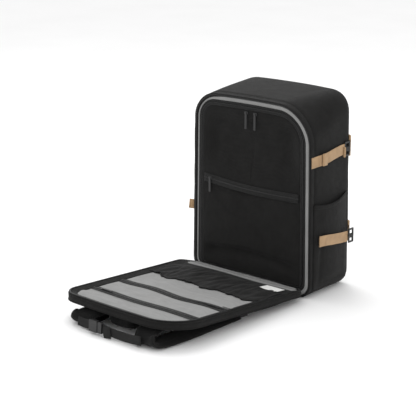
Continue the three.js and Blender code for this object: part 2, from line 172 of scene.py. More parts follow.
def fabric(name, colour, period, sheen=0.25, depth=0.0004, vary=0.22, creases=0.5):
    """Woven cloth: threads both ways, a faint mottle, soft creases and a little sheen."""
    n = Nodes(name)
    threads = n.maths("ADD", n.wave("X", period), n.wave("Z", period))
    threads = n.maths("ADD", threads, n.wave("Y", period))
    mottle = n.noise(38, 5)
    tone = n.maths("ADD", n.maths("MULTIPLY", threads, 0.16), n.maths("MULTIPLY", mottle, 0.8))
    colour_out = n.ramp(tone, shade(colour, 1 - vary), shade(colour, 1 + vary), 0.35, 0.95)
    n.link(colour_out, n.shader.inputs["Base Color"])
    n.rough(n.noise(90, 2), 0.72, 0.9)
    n.shader.inputs["Sheen Weight"].default_value = sheen
    n.shader.inputs["Sheen Roughness"].default_value = 0.45
    n.shader.inputs["Specular IOR Level"].default_value = 0.14
    weave = n.maths("MULTIPLY", threads, 0.33)
    soft = n.maths("MULTIPLY", n.noise(22, 4), creases * 9)
    n.bump(n.maths("ADD", weave, soft), 0.55, depth)
    return n.material


def ribbed(name, colour, axis, period, sheen=0.1, depth=0.0005):
    """Webbing or zip tape, with ribs across it."""
    n = Nodes(name)
    ribs = n.wave(axis, period, 0.6)
    fine = n.maths("ADD", n.wave("Y", 0.0011), n.wave("Z", 0.0011))
    tone = n.maths("ADD", n.maths("MULTIPLY", ribs, 0.4), n.maths("MULTIPLY", n.noise(60, 4), 0.7))
    n.link(n.ramp(tone, shade(colour, 0.68), shade(colour, 1.18), 0.25, 0.9), n.shader.inputs["Base Color"])
    n.rough(n.noise(120, 2), 0.62, 0.85)
    n.shader.inputs["Sheen Weight"].default_value = sheen
    n.shader.inputs["Specular IOR Level"].default_value = 0.3
    n.bump(n.maths("ADD", ribs, n.maths("MULTIPLY", fine, 0.3)), 0.7, depth)
    return n.material


def plastic(name, colour, roughness=(0.3, 0.48)):
    """Moulded plastic with a fine grain and slightly scuffed sheen."""
    n = Nodes(name)
    n.link(n.ramp(n.noise(70, 4), shade(colour, 0.8), shade(colour, 1.5)), n.shader.inputs["Base Color"])
    n.rough(n.noise(240, 3), *roughness)
    n.bump(n.noise(1400, 2), 0.25, 0.00015)
    return n.material


BLACK = (0.0100, 0.0097, 0.0094)
SHELL = fabric("shell_cloth", BLACK, 0.0013, sheen=0.05, depth=0.0007, vary=0.3)
COVER = fabric("cover_cloth", (0.0095, 0.0092, 0.0089), 0.0016, sheen=0.05, depth=0.0006)
GATHER = fabric("gathered_cloth", (0.0075, 0.0073, 0.0071), 0.0010, sheen=0.05)
PAD = fabric("pad_mesh", (0.0065, 0.0065, 0.0065), 0.0026, depth=0.0011, sheen=0.05)
LINING = fabric("lining_cloth", (0.26, 0.26, 0.257), 0.0011, vary=0.1, sheen=0.05)
STRIP = fabric("strip_cloth", (0.25, 0.25, 0.247), 0.0011, vary=0.1, sheen=0.05)
LABEL = fabric("label_cloth", (0.82, 0.82, 0.80), 0.0007, vary=0.04, creases=0.2)
TAN = ribbed("tan_webbing", (0.44, 0.285, 0.155), "Y", 0.0022)
BLACK_WEB = ribbed("black_webbing", (0.0045, 0.0044, 0.0043), "X", 0.0022, 0.03)
TAPE = ribbed("zip_tape", (0.0085, 0.0084, 0.0082), "Z", 0.0036, 0.02, 0.0009)
COIL = plastic("zip_coil", (0.005, 0.005, 0.005), (0.3, 0.42))
HARD = plastic("moulded_black", (0.008, 0.008, 0.0082))
THREAD = fabric("thread_black", (0.012, 0.0117, 0.0115), 0.0006, sheen=0.05)
THREAD_TAN = fabric("thread_tan", (0.33, 0.22, 0.13), 0.0006)
THREAD_GREY = fabric("thread_grey", (0.17, 0.17, 0.167), 0.0006, sheen=0.05)


# ---- mesh helpers
def link_mesh(name, vertices, faces, material, smooth=True):
    mesh = bpy.data.meshes.new(name)
    mesh.from_pydata([tuple(v) for v in vertices], [], faces)
    work = bmesh.new()
    work.from_mesh(mesh)
    bmesh.ops.recalc_face_normals(work, faces=work.faces)
    work.to_mesh(mesh)
    work.free()
    mesh.polygons.foreach_set("use_smooth", [smooth] * len(mesh.polygons))
    piece = bpy.data.objects.new(name, mesh)
    bpy.context.collection.objects.link(piece)
    mesh.materials.append(material)
    return piece


def skin(name, rows, material, loop_rows=False, loop_points=True, caps=False, tip=None):
    """A surface through rows of points, joined in order; tip closes its last row to a point."""
    count = len(rows[0])
    vertices = [p for row in rows for p in row]
    faces = []
    spans = len(rows) if loop_rows else len(rows) - 1
    steps = count if loop_points else count - 1
    for i in range(spans):
        near, far = i * count, ((i + 1) % len(rows)) * count
        for j in range(steps):
            k = (j + 1) % count
            faces.append((near + j, near + k, far + k, far + j))
    last = (len(rows) - 1) * count
    ends = [] if tip is None else [(last, tip)]
    if caps:
        for start in (0, last):
            ends.append((start, sum((Vector(vertices[start + j]) for j in range(count)), Vector()) / count))
    for start, middle in ends:
        vertices.append(middle)
        faces += [(start + j, start + (j + 1) % count, len(vertices) - 1) for j in range(count)]
    return link_mesh(name, vertices, faces, material)


def grid(columns, lines, point):
    """Rows of points from a rule of the shares across and along."""
    return [[point(i / columns, j / lines) for j in range(lines + 1)] for i in range(columns + 1)]


def thicken(piece, thickness):
    """Gives cloth its thickness, half on each side."""
    modifier = piece.modifiers.new("thickness", "SOLIDIFY")
    modifier.thickness = thickness
    modifier.offset = 0


def bevel(piece, width):
    modifier = piece.modifiers.new("bevel", "BEVEL")
    modifier.width = width
    modifier.segments = 2
    modifier.limit_method = "ANGLE"
    modifier.harden_normals = False


def place(piece, body, slot, *nodes):
    """Rides the piece on its body and hides what it stands for; its slot is not used."""
    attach(piece, body)
    if nodes:
        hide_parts(*nodes)
    return piece


def resample(points, count, closed=True):
    """Points at equal steps along a line."""
    line = list(points) + ([points[0]] if closed else [])
    reach = [0.0]
    for a, b in zip(line, line[1:]):
        reach.append(reach[-1] + (b - a).length)
    result = []
    at = 0
    for i in range(count):
        target = reach[-1] * i / (count if closed else count - 1)
        while at < len(line) - 2 and reach[at + 1] < target:
            at += 1
        span = max(reach[at + 1] - reach[at], 1e-9)
        result.append(line[at].lerp(line[at + 1], (target - reach[at]) / span))
    return result


def smoothstep(value, low, high):
    share = min(max((value - low) / (high - low), 0), 1)
    return share * share * (3 - 2 * share)


def ripple(x, y, z=0.0, size=0.05, seed=0.0):
    """Smooth noise from -1 to 1 over lengths of about size."""
    return noise.noise(Vector((x / size + seed, y / size - seed, z / size + 2 * seed)))


def outline(width, low, high, top_radius, bottom_radius, left_radius=None):
    """A rounded outline as (x, z), from the middle of the bottom, evenly spaced."""
    half = width / 2
    left = top_radius if left_radius is None else left_radius
    corners = [
        (half - bottom_radius, low + bottom_radius, bottom_radius, -90),
        (half - top_radius, high - top_radius, top_radius, 0),
        (-half + left, high - left, left, 90),
        (-half + bottom_radius, low + bottom_radius, bottom_radius, 180),
    ]
    points = [Vector((0, low))]
    for x, z, radius, start in corners:
        for i in range(CORNER_STEPS + 1):
            angle = math.radians(start + 90 * i / CORNER_STEPS)
            points.append(Vector((x + radius * math.cos(angle), z + radius * math.sin(angle))))
    return resample(points, ROUND)


def taper(z):
    return 1 - TAPER * z / HEIGHT


def crowned(x, z, sink=0.0):
    """Lifts the middle of the top, and lowers all of it by sink."""
    return z + smoothstep(z, HEIGHT * 0.6, HEIGHT) * (CROWN * (1 - (2 * x / WIDTH) ** 2) - sink)


def pack_ring(inset, y, top_radius=TOP_RADIUS, low=None):
    """One ring of the pack's outline, set in by inset; y is measured from the opening."""
    low = inset if low is None else low
    points = outline(
        WIDTH - 2 * inset,
        low,
        HEIGHT - inset,
        max(top_radius - inset, 0.005),
        max(BOTTOM_RADIUS - inset, 0.005),
        max(LEFT_FRONT + (LEFT_BACK - LEFT_FRONT) * smoothstep(y, 0, DEPTH) - inset, 0.005),
    )
    sink = SLUMP * (1 - y / DEPTH)
    return [Vector((p.x * taper(p.y), y + OPENING_Y, crowned(p.x, p.y, sink))) for p in points]


def flap_point(x, v, w):
    """A place on the flap: x across, v out from the hinge, w above its inner face."""
    turn = Matrix.Rotation(-FLAP_TILT, 3, "X")
    return HINGE + turn @ Vector((x, -v, w))


FLAP_UP = (flap_point(0, 0, 1) - flap_point(0, 0, 0)).normalized()


def flap_outline(inset):
    points = outline(
        WIDTH - 2 * inset,
        FLAP_NEAR + inset,
        FLAP_LONG - inset,
        max(FLAP_RADIUS - inset, 0.005),
        max(FLAP_CORNER - inset, 0.005),
        max(FLAP_LEFT_RADIUS - inset, 0.005),
    )
    result = []
    for p in points:
        v = crowned(p.x, p.y + HINGE.z) - HINGE.z
        result.append((p.x * taper(p.y + HINGE.z), v))
    return result


def rim_drop(v):
    return RIM_DROP * (1 - smoothstep(v, 0.004, RIM_RISE))


BLOCK_FACES = ((0, 1, 3, 2), (4, 6, 7, 5), (0, 4, 5, 1), (2, 3, 7, 6), (0, 2, 6, 4), (1, 5, 7, 3))


def dashes(name, path, facings, kind, material, body, slot, closed=True):
    """A row of small blocks along a line, for zip teeth and stitches.

    facings is one direction for all of them, or a list with one for each point of the line.
    """
    pitch, length, breadth, tall = kind
    total = sum((b - a).length for a, b in zip(path, path[1:] + ([path[0]] if closed else [])))
    count = max(int(total / pitch), 2)
    spots = resample(path, count, closed)
    vertices, faces = [], []
    for i, spot in enumerate(spots):
        ahead = spots[(i + 1) % count] if closed or i < count - 1 else spot
        behind = spots[i - 1] if closed or i > 0 else spot
        along = (ahead - behind).normalized()
        up = facings
        if isinstance(facings, list):
            nearest = min(range(len(path)), key=lambda k: (path[k] - spot).length_squared)
            up = facings[nearest]
        across = along.cross(up).normalized()
        first = len(vertices)
        for a in (-length / 2, length / 2):
            for b in (-breadth / 2, breadth / 2):
                for c in (-tall / 2, tall / 2):
                    vertices.append(spot + along * a + across * b + up * c)
        for face in BLOCK_FACES:
            faces.append(tuple(first + k for k in face))
    return place(link_mesh(name, vertices, faces, material, smooth=False), body, slot)


def tube(name, path, radius, material, closed=True, sides=8):
    """A round cord or piping along a line."""
    rows = []
    count = len(path)
    side = None
    for i, spot in enumerate(path):
        ahead = path[(i + 1) % count] if closed or i < count - 1 else spot
        behind = path[i - 1] if closed or i > 0 else spot
        along = (ahead - behind).normalized()
        if side is None:
            side = along.orthogonal().normalized()
        side = (side - along * side.dot(along)).normalized()
        up = along.cross(side)
        row = []
        for k in range(sides):
            angle = 2 * math.pi * k / sides
            row.append(spot + side * (radius * math.cos(angle)) + up * (radius * math.sin(angle)))
        rows.append(row)
    return skin(name, rows, material, loop_rows=closed, caps=not closed)


def piping(name, path, radius, body="body", closed=True):
    place(tube(name, path, radius, SHELL, closed), body, "shell_fabric")


STRIP_SECTION = ((-1, -0.5), (-0.9, -1), (0, -1), (0.9, -1), (1, -0.5),
                 (1, 0.5), (0.9, 1), (0, 1), (-0.9, 1), (-1, 0.5))


def strip(name, path, across, thickness, material, width=WEBBING):
    """Flat webbing: path is its middle line, across its width direction."""
    rows = []
    count = len(path)
    for i, spot in enumerate(path):
        along = (path[min(i + 1, count - 1)] - path[max(i - 1, 0)]).normalized()
        side = (across - along * across.dot(along)).normalized()
        up = along.cross(side)
        half, thick = width / 2, thickness / 2
        rows.append([spot + side * (half * a) + up * (thick * b) for a, b in STRIP_SECTION])
    return skin(name, rows, material, caps=True)


def refined(node, body, slot, material, width=0.0006):
    """A CAD piece with its edges eased, as moulded or sewn."""
    source = bpy.data.objects[node]
    piece = bpy.data.objects.new(f"{node}_fine", source.data.copy())
    piece.data.materials.clear()
    piece.data.materials.append(material)
    piece.data.polygons.foreach_set("use_smooth", [False] * len(piece.data.polygons))
    bpy.context.collection.objects.link(piece)
    merge = piece.modifiers.new("merge", "WELD")
    merge.merge_threshold = 0.00001
    bevel(piece, width)
    return place(piece, body, slot, node)


# ---- body
def side_x(y, z):
    """How far out the cloth of a side panel stands; y is measured from the opening."""
    swell = 0.0022 * math.sin(math.pi * min(max(y / 0.120, 0), 1)) * smoothstep(z, 0.02, 0.12)
    soft = 0.0014 * ripple(y, z, size=0.06, seed=3.1)
    soft -= 0.0012 * abs(ripple(0.6 * y + 0.4 * z, z, size=0.045, seed=9.9)) * smoothstep(z, 0.05, 0.3)
    return WIDTH / 2 * taper(z) + swell + soft


def soften(point, inset):
    """Moves a point of the plain shell to where the soft cloth lies."""
    y = point.y - OPENING_Y
    x, z = point.x, point.z
    edge = math.sin(math.pi * min(max(y / DEPTH, 0), 1))
    side = smoothstep(abs(x), WIDTH / 2 * taper(z) * 0.9, WIDTH / 2 * taper(z))
    if inset < EDGE_ROUND and z < HEIGHT - 0.045:
        x += math.copysign(side * (side_x(y, z) - WIDTH / 2 * taper(z)), x)
    top = smoothstep(z, HEIGHT - 0.05, HEIGHT - 0.02)
    z += top * edge * (0.002 + 0.0015 * ripple(x, y, size=0.09, seed=1.3))
    face = smoothstep(y, DEPTH - 0.012, DEPTH)
    puff = 0.007 * max(0, 1 - (2 * x / WIDTH) ** 2) * math.sin(math.pi * min(max(z / HEIGHT, 0), 1))
    y += face * (puff + 0.0012 * ripple(x, z, size=0.08, seed=5.2))
    return Vector((x, y + OPENING_Y, z))


def shell_rings(wall):
    """Rings from the opening, round the edge and in to the middle of the outer face."""
    rings = [(wall, y / 1000) for y in (2, 6, 14, 15.2, 16.4, 28, 45, 62, 80, 98, 116, 128)]
    for i in range(7):
        angle = math.pi / 12 * i
        inset = (EDGE_ROUND - wall) * (1 - math.cos(angle))
        rings.append((wall + inset, DEPTH - EDGE_ROUND + (EDGE_ROUND - wall) * math.sin(angle)))
    for inset in (32, 44, 60, 80, 100, 125, 150):
        rings.append((inset / 1000, DEPTH - wall))
    return rings


def radius_at(y):
    return TOP_RADIUS + (BACK_TOP_RADIUS - TOP_RADIUS) * smoothstep(y, 0, DEPTH - EDGE_ROUND)


def make_shell():
    outer, inner = [], []
    for inset, y in shell_rings(0):
        seam = 0.0008 if abs(y - 0.0152) < 0.0001 else 0
        ring = pack_ring(inset + seam, y, radius_at(y))
        outer.append([soften(p, inset) for p in ring])
    for inset, y in shell_rings(SHELL_WALL):
        inner.append([soften(p, inset) for p in pack_ring(inset, y, radius_at(y))])
    piece = skin("body_cloth", outer[::-1] + inner, SHELL, caps=True)
    piece.data.materials.append(LINING)
    count = len(outer) * ROUND
    middle = len(piece.data.vertices) - 2  # the middle of the outer face
    for face in piece.data.polygons:
        inside = min(face.vertices) >= count and middle not in face.vertices
        face.material_index = int(inside)
    place(piece, "body", "shell_fabric", "body_shell")


def make_seams():
    """Piping where panels meet, and the stitch rows beside it."""
    front = [soften(p, 0) for p in pack_ring(0.0006, 0.0018)]
    piping("rim_piping", front, 0.0014)
    turn = math.radians(62)  # where the piping sits on the rounded edge
    inset = EDGE_ROUND * (1 - math.cos(turn))
    y = DEPTH - EDGE_ROUND + EDGE_ROUND * math.sin(turn)
    back = [soften(p, inset) for p in pack_ring(inset - 0.0008, y, radius_at(y))]
    piping("outer_piping", back, 0.0019)
    edge, sewn = [
        [soften(p, inset) for p in pack_ring(inset, DEPTH, radius_at(DEPTH))] for inset in (0.044, 0.050)
    ]
    piping("outer_panel_piping", edge, 0.0016)
    dashes("outer_panel_stitches", sewn, -OUT_FRONT, STITCH, THREAD, "body", "shell_fabric")
    for name, distance in (("rim_stitches", 0.0185), ("edge_stitches", 0.012)):
        ring = [soften(p, 0) for p in pack_ring(-0.0002, distance, radius_at(distance))]
        facings = [Vector((p.x, 0, p.z - HEIGHT / 2)).normalized() for p in ring]
        dashes(name, ring, facings, STITCH, THREAD, "body", "shell_fabric")


def opening_band(name, outer, inner, y, thickness, material, body, slot, node, low=(None, None), wave=0.0):
    """A flat band round the opening with a slightly rolled surface."""
    rows = []
    span = inner - outer
    for share, lift in ((0, 0), (0.12, -1), (0.5, -1.25), (0.88, -1), (1, 0), (1, 1), (0, 1)):
        inset = outer + span * share
        floor = None if low[0] is None else low[0] + (low[1] - low[0]) * share
        ring = pack_ring(inset, y + thickness / 2 + lift * thickness / 2, low=floor)
        if wave:
            ring = [p + Vector((0, wave * ripple(p.x, p.z, size=0.05, seed=share), 0)) for p in ring]
        rows.append(ring)
    return place(skin(name, rows, material, loop_rows=True), body, slot, node)


ROLLED_SECTION = ((0.0040, 0.0006), (0.0060, -0.0014), (0.0085, -0.0012), (0.0105, 0.0008), (0.0070, 0.0009))


def make_opening():
    """The zip tape, the rim that rolls in at the left, the grey strip and the cover's outer tape."""
    opening_band("clamshell_tape", 0.0005, 0.0047, 0.0006, 0.0021, TAPE, "body", "zip", "clamshell_zip_body")
    rows = []
    for inset, y in ROLLED_SECTION:
        ring = pack_ring(inset, y)
        tucked = pack_ring(0.0042, y * 0.3 + 0.0010)
        rows.append([q.lerp(p, smoothstep(-p.x, 0.06, 0.150)) for p, q in zip(ring, tucked)])
    place(skin("rolled_rim", rows, SHELL, loop_rows=True), "body", "shell_fabric")
    ring = pack_ring(0.0026, 0.0007)
    dashes("clamshell_teeth", ring, OUT_FRONT, TOOTH, COIL, "body", "zip")
    opening_band(
        "lining_edge", 0.005, 0.014, 0.0009, 0.0016, STRIP, "body", "lining", "lining_strip", wave=0.0004,
    )
    opening_band(
        "cover_tape_outer", 0.0143, 0.0204, 0.0009, 0.0014, TAPE, "body", "zip", "cover_zip_tape_body",
    )


# ---- side pockets and straps
POCKET_FRONT, POCKET_BACK, POCKET_LOW = 0.012, DEPTH - EDGE_ROUND - 0.001, 0.022


def pocket_top(y):
    share = (y - POCKET_FRONT) / (POCKET_BACK - POCKET_FRONT)
    front, dip, back = 0.220, 0.208, 0.229
    return front * (1 - share) ** 2 + 2 * dip * share * (1 - share) + back * share ** 2


def pocket_off(y, z):
    """How far a side pocket's cloth stands off the side."""
    across = (y - POCKET_FRONT) / (POCKET_BACK - POCKET_FRONT)
    up = (z - POCKET_LOW) / (pocket_top(y) - POCKET_LOW)
    belly = math.sin(math.pi * min(max(across, 0), 1)) ** 0.55 * (0.55 + 0.45 * up) * smoothstep(up, 0, 0.14)
    fold = math.exp(-((y - 0.031 - 0.010 * up) / 0.006) ** 2) * smoothstep(1 - up, 0.2, 0.6)
    soft = 0.8 * ripple(y, z, size=0.045, seed=7.7) * belly
    return 0.0006 + MM * (9.5 * belly - 5.0 * fold * belly + soft)


def side_point(y, z, off, side):
    return Vector((side * (side_x(y, z) + off), y + OPENING_Y, z))


def make_side_pocket(name, side):
    def spot(across, up):
        y = POCKET_FRONT + (POCKET_BACK - POCKET_FRONT) * across
        z = POCKET_LOW + (pocket_top(y) - POCKET_LOW) * up
        return side_point(y, z, pocket_off(y, z), side)

    rows = grid(32, 40, spot)
    cloth = skin(f"side_pocket_cloth_{name}", rows, SHELL, loop_points=False)
    thicken(cloth, 0.0011)
    place(cloth, "body", "shell_fabric", f"side_pocket_{name}")
    hem_line = [row[-1] + Vector((side * 0.0002, 0, -0.004)) for row in rows]
    hem = strip(f"side_pocket_hem_{name}", hem_line, UP, 0.0022, SHELL, 0.009)
    place(hem, "body", "shell_fabric")


def strap_line(points, z, side, drop=lambda y: 0.0):
    """The middle line of webbing along a side through (y, off) places."""
    line = []
    for i in range(len(points) - 1):
        (y0, a), (y1, b) = points[i], points[i + 1]
        for k in range(8):
            share = k / 8
            y = y0 + (y1 - y0) * share
            off = a + (b - a) * smoothstep(share, 0, 1)
            line.append(side_point(y, z + drop(y), off, side))
    y, off = points[-1]
    line.append(side_point(y, z + drop(y), off, side))
    return line


# webbing along a side: (how far back from the opening, how far off the side)
UPPER_LINE = ((0.004, 0.0012), (0.022, 0.0016), (0.040, 0.0042), (0.062, 0.0050), (0.092, 0.0036),
              (0.117, 0.0022), (0.1265, 0.0024))
FOLD_LINE = ((0.036, 0.0075), (0.0385, 0.0088), (0.044, 0.0082), (0.051, 0.0072))
LOOP_LINE = ((0.121, 0.0045), (0.1255, 0.0052))
LOWER_LINE = ((0.022, 0.0100), (0.045, 0.0118), (0.080, 0.0124), (0.112, 0.0135), (0.1265, 0.0146))
LOWER_FOLD_LINE = ((0.0215, 0.0112), (0.031, 0.0122), (0.042, 0.0132))


def make_compression_straps(name, side):
    def webbing(label, line, thickness, nodes=(), width=WEBBING):
        piece = strip(f"{label}_{name}", line, UP, thickness, TAN, width)
        place(piece, "body", "webbing_tan", *nodes)

    line = strap_line(UPPER_LINE, UPPER_STRAP_Z, side, lambda y: -0.011 * (1 - smoothstep(y, 0.0, 0.115)))
    webbing("upper_webbing", line, WEB_THICK, (f"upper_strap_{name}",))
    webbing("strap_fold", strap_line(FOLD_LINE, 0.321, side), 0.0034, (f"upper_keeper_{name}",), 0.028)
    webbing("upper_loop", strap_line(LOOP_LINE, 0.322, side), 0.0044, width=0.0235)
    line = strap_line(LOWER_LINE, LOWER_STRAP_Z, side, lambda y: -0.010 * smoothstep(y, 0.02, 0.13))
    webbing("lower_webbing", line, WEB_THICK, (f"lower_strap_{name}",))
    webbing("lower_fold", strap_line(LOWER_FOLD_LINE, LOWER_STRAP_Z, side), 0.0018, width=0.0245)
    for label, y, z, off in (("upper", 0.0285, 0.320, 0.0032), ("lower", 0.0415, 0.134, 0.0140)):
        bar = [side_point(y, z - 0.0105 + 0.021 * k / 12, off, side) for k in range(13)]
        bartack = f"{label}_bartack_{name}"
        dashes(bartack, bar, Vector((side, 0, 0)), BARTACK, THREAD_TAN, "body", "webbing_tan", False)
    for level in ("upper", "lower"):
        refined(f"{level}_hook_{name}", f"{level}_hook_{name}", "plastic", HARD, 0.0010)
        make_latch(level, name, side)
        refined(f"{level}_anchor_{name}", "body", "webbing_tan", TAN, 0.0008)


def make_latch(level, name, side):
    """The thicker bar and tongue of a hook, along its free end and its middle."""
    node = f"{level}_hook_{name}"
    low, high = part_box(node)[:2]
    x = (low[0] + high[0]) / 2
    z = (low[2] + high[2]) / 2
    end = [Vector((x, high[1] - 0.0022, z - 0.0145 + 0.029 * k / 8)) for k in range(9)]
    place(tube(f"{node}_bar", end, 0.0023, HARD, closed=False, sides=10), node, "plastic")
    tongue = [Vector((x + side * 0.0004 * k, low[1] + 0.0042 + 0.00122 * k, z)) for k in range(9)]
    piece = strip(f"{node}_tongue", tongue, UP, 0.0030, HARD, 0.011)
    bevel(piece, 0.0005)
    place(piece, node, "plastic")


def make_strap_stub():
    """The folded end of spare webbing that stands out past the left side."""
    height = 0.160
    line = [Vector((-0.1735 - 0.0002 * k, OPENING_Y + 0.010 - 0.0008 * k, height)) for k in range(4)]
    for k in range(1, 9):
        line.append(Vector((-0.1745 - 0.0016 * k, OPENING_Y + 0.0076 - 0.0010 * k, height + 0.0002 * k)))
    place(strip("left_spare_fold", line, UP, 0.0036, TAN, 0.023), "body", "webbing_tan")
    turned = [p + Vector((0.001, 0.0042, -0.001)) for p in line[3:]]
    place(strip("left_spare_turn", turned, UP, 0.0018, TAN, 0.022), "body", "webbing_tan")


# ---- mesh cover
COVER_LOW = 0.0243
COVER_MIDDLE = 0.22
COVER_RINGS = 46
ZIP_Z = 0.236          # the cover's pocket zip, at its left end
ZIP_HALF, STITCH_HALF = 0.139, 0.128
ZIP_STEPS = 60


def cover_depth(x, z):
    """How far in from the opening's plane the cover's cloth lies."""
    edge_x = 1 - smoothstep(abs(x), 0.105, 0.147)
    edge_z = smoothstep(z, COVER_LOW, COVER_LOW + 0.03) * (1 - smoothstep(z, 0.375, 0.408))
    free = edge_x * edge_z
    folds = 2.4 * ripple(x + 0.5 * z, z, size=0.13, seed=2.2) + 1.1 * ripple(x, 1.7 * z, size=0.055, seed=8.1)
    roll = 5.5 * math.exp(-((z - 0.052 - 0.02 * math.cos(9 * x)) / 0.014) ** 2)
    bulge = -3.6 * math.exp(-((z - 0.098 - 0.02 * math.cos(7 * x)) / 0.038) ** 2)
    tuck = 3.2 * math.exp(-((z - ZIP_Z + 0.018) / 0.010) ** 2)
    seam = 0.9 * math.exp(-(x / 0.0016) ** 2) if z > ZIP_Z + 0.01 else 0
    under = 2.8 * math.exp(-((z - 0.386) / 0.010) ** 2) * (1 - smoothstep(abs(x), 0.07, 0.12))
    dip = 5.0 * smoothstep(z, ZIP_Z + 0.01, 0.32) * (1 - smoothstep(z, 0.32, 0.41))
    slack = free * (2.2 * folds + 1.9 * roll + 1.9 * bulge + 1.7 * dip)
    flat = math.exp(-((z - ZIP_Z) / 0.011) ** 2)
    return MM * max(1.6 + slack * (1 - flat) + (tuck + under) * free + seam * free, 0.7)


def make_cover():
    outer = pack_ring(0.0283, 0.0, low=COVER_LOW)
    centre = Vector((0, OPENING_Y, COVER_MIDDLE))

    def laid(q):
        return Vector((q.x, OPENING_Y + cover_depth(q.x, q.z), q.z))

    rows = [[laid(centre.lerp(p, 1 - step / COVER_RINGS)) for p in outer] for step in range(COVER_RINGS)]
    cloth = skin("cover_cloth", rows, COVER, tip=laid(centre))
    thicken(cloth, 0.0008)
    place(cloth, "cover", "cover_fabric", "cover_panel")
    low = (0.022, COVER_LOW)
    opening_band(
        "cover_tape_inner", 0.021, 0.0290, 0.0007, 0.0016, TAPE, "cover", "zip", "cover_zip_tape", low=low,
    )
    ring = pack_ring(0.0212, 0.0006, low=0.0222)
    dashes("cover_teeth", ring, OUT_FRONT, COVER_TOOTH, COIL, "cover", "zip")
    make_cover_pocket_zip()
    seam = [Vector((0.002, 0, ZIP_Z + 0.02 + 0.150 * k / ZIP_STEPS)) for k in range(ZIP_STEPS + 1)]
    for name, line in (
        ("cover_seam_stitches", seam),
        ("cover_zip_stitches_high", zip_line(STITCH_HALF, 0, 0.0120)),
        ("cover_zip_stitches_low", zip_line(STITCH_HALF, 0, -0.0120)),
    ):
        path = [Vector((p.x, OPENING_Y + cover_depth(p.x, p.z) - 0.0006, p.z)) for p in line]
        dashes(name, path, OUT_FRONT, FINE_STITCH, THREAD, "cover", "cover_fabric", False)
    for zip_name, side in (("cover_zip", "right"), ("cover_zip", "left"), ("cover_pocket", "end")):
        for kind in ("slider", "pull"):
            node = f"{zip_name}_{kind}_{side}"
            refined(node, node, "plastic", HARD)


def sag(share):
    """How far the cover's pocket zip hangs below its ends."""
    return 0.0055 * math.sin(math.pi * min(max(share, 0), 1)) ** 1.2 + 0.005 * share


def zip_line(half, y, rise):
    """A line beside the cover's pocket zip, from -half to half."""
    line = []
    for k in range(ZIP_STEPS + 1):
        share = k / ZIP_STEPS
        line.append(Vector((-half + 2 * half * k / ZIP_STEPS, y, ZIP_Z + rise - sag(share))))
    return line


def make_cover_pocket_zip():
    """Two ribbed tapes with the coil between them."""
    for name, rise in (("high", 0.0054), ("low", -0.0054)):
        path = zip_line(ZIP_HALF, OPENING_Y - 0.0001, rise)
        nodes = ("cover_pocket_zip",) if name == "high" else ()
        place(strip(f"pocket_tape_{name}", path, UP, 0.0012, TAPE, 0.0100), "cover", "zip", *nodes)
    path = zip_line(ZIP_HALF, OPENING_Y - 0.0005, 0)
    dashes("pocket_teeth", path, OUT_FRONT, POCKET_TOOTH, COIL, "cover", "zip", False)


# ---- flap
def flap_ring(inset, w, drop=True):
    ring = []
    for x, v in flap_outline(inset):
        fall = rim_drop(v) if drop else 0
        ring.append(flap_point(x, v, w - fall * smoothstep(w, -0.006, 0.004)))
    return ring


def make_flap_frame():
    """The rim, the tape and teeth on it, its piping and stitches, and the back panel."""
    section = [(0.0, -8.0), (-0.4, -2), (0.0, 5.2), (1.2, 7.2), (4.4, 8.0), (8.4, 7.4), (13, 5.6), (18, 4.4),
               (20.5, 3.4), (20.5, 2.6), (13, 2.4), (9.2, 1.0), (9.2, -8.0), (7.4, -10.6), (4.4, -11.2),
               (1.4, -10.4)]
    rows = [flap_ring(inset * MM, w * MM) for inset, w in section]
    place(skin("flap_binding", rows, SHELL, loop_rows=True), "flap", "shell_fabric", "flap_rim")
    tape = [flap_ring(inset * MM, w * MM) for inset, w in ((0.4, 7.9), (0.6, 9.2), (4.6, 9.2), (4.9, 8.1))]
    place(skin("flap_tape", tape, TAPE, loop_rows=True), "flap", "zip", "clamshell_zip_flap")
    ring = flap_ring(0.0026, 0.0092)
    dashes("flap_teeth", ring, FLAP_UP, TOOTH, COIL, "flap", "zip")
    out = [Vector((p.x, 0, 0)).normalized() if abs(p.x) > 0.1 else OUT_FRONT for p in ring]
    for name, w in (("flap_edge_piping", -0.0085), ("flap_top_piping", 0.0052)):
        piping(name, flap_ring(0.0002, w), 0.0013, "flap")
    ring = flap_ring(-0.0008, 0.0015)
    dashes("flap_edge_stitches", ring, out, STITCH, THREAD, "flap", "shell_fabric")
    rows = []
    inner, reach, rings = 0.0095, 0.15, 24
    for k in range(rings):
        inset = inner + reach * k / (rings - 1)
        ring = []
        for x, v in flap_outline(inset):
            quilt = 0.0011 * abs(math.sin(v * 85)) * smoothstep(k, 0, 5)
            ring.append(flap_point(x, v, -0.0100 - quilt))
        rows.append(ring)
    upper = [flap_ring(inset, -0.0006, drop=False) for inset in (inner, inner + reach)]
    panel = skin("back_panel_cloth", rows[::-1] + upper, PAD, caps=True)
    place(panel, "flap", "shell_fabric", "flap_panel")


def half_at(v, share, inset=0.0125):
    """The flap's inner width from its middle to the side that share is on, at v from the hinge."""
    turn = FLAP_RADIUS if share > 0 else FLAP_LEFT_RADIUS
    past = max(v - (FLAP_LONG - turn), 0)
    radius = turn - inset
    corner = radius - math.sqrt(max(radius ** 2 - past ** 2, 0))
    near = FLAP_CORNER
    start = near - math.sqrt(max(near ** 2 - max(near + FLAP_NEAR - v, 0) ** 2, 0))
    return (WIDTH / 2 - inset - max(corner, start)) * taper(v + HINGE.z)


